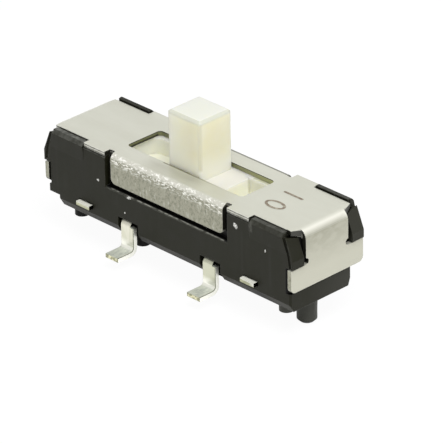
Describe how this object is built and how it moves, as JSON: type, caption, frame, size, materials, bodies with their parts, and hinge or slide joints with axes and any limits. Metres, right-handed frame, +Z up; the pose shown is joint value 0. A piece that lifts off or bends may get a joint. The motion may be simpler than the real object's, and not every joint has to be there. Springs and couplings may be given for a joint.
{
  "type": "slide switch",
  "caption": "Miniature surface-mount slide switch: a dark moulded housing under a bent sheet-metal cover, with a tall square knob in a long slot, locating pegs and gull-wing terminals.",
  "frame": {"origin": "On the board's top face, under the middle of the switch: midway between the locating pegs.", "axes": "+X along the slider's travel, toward the end where the slider's filling block lies; +Y across the switch; +Z up from the board, along the knob."},
  "size_m": [0.012, 0.0048, 0.0059],
  "materials": {
    "housing": "moulded, dark grey, satin",
    "cover": "bright rolled sheet, soft satin",
    "slider": "moulded, ivory, satin",
    "wiper": "bare sheet",
    "spring": "bare wire-drawn strip",
    "terminal": "silver plated, satin"
  },
  "bodies": {
    "base": {"housing": "housing", "cover": "cover", "contact_left": "terminal", "contact_middle": "terminal", "contact_right": "terminal", "contact_common": "terminal"},
    "slide": {"slider": "slider", "wiper": "wiper", "detent_spring_near": "spring", "detent_spring_far": "spring"}
  },
  "joints": [
    {"name": "knob_slide", "type": "slide", "parent": "base", "child": "slide", "axis": [1, 0, 0], "range_m": [-0.002, 0.002], "deforming": ["detent_spring_near", "detent_spring_far"]}
  ]
}
